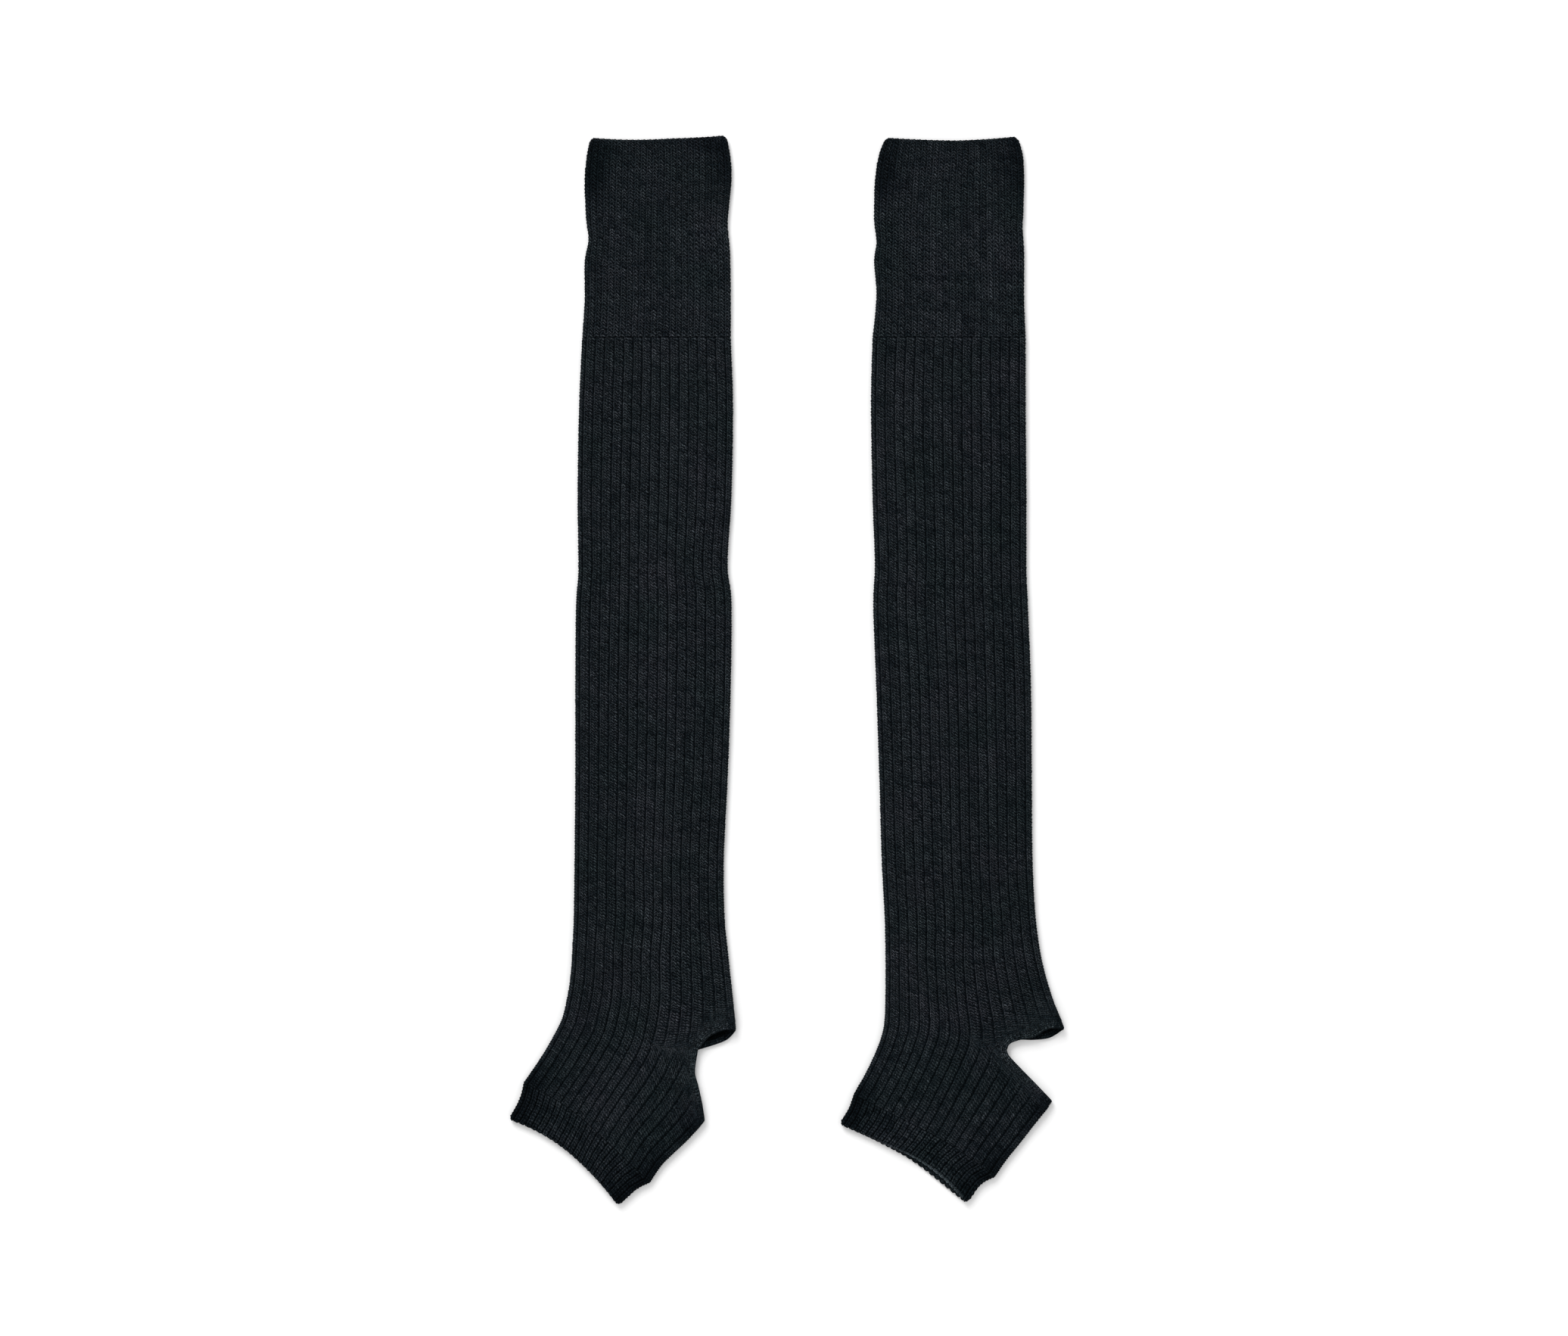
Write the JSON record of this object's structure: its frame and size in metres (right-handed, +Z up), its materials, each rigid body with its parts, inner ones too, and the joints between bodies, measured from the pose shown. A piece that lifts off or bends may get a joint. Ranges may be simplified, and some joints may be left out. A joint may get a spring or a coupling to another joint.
{
  "type": "pair of ribbed stirrup leg warmers",
  "caption": "Long ribbed knit leg warmers with a short foot, open toe and open heel, laid flat side by side.",
  "frame": {"origin": "centre of the pair's footprint, on the surface that it lies on", "axes": "+X to the right and +Y from the toes to the cuffs seen from above, +Z up off the surface"},
  "size_m": [0.3638, 0.698, 0.008],
  "materials": {
    "leg_knit": "matt charcoal black 2x1 rib knit",
    "rib_knit": "matt charcoal black 1x1 rib knit",
    "plain_knit": "matt charcoal black plain knit"
  },
  "bodies": {
    "root": {"left_cuff": "rib_knit", "left_leg": "leg_knit", "left_heel_edge": "plain_knit", "left_toe_band": "rib_knit", "right_cuff": "rib_knit", "right_leg": "leg_knit", "right_heel_edge": "plain_knit", "right_toe_band": "rib_knit"}
  },
  "joints": []
}
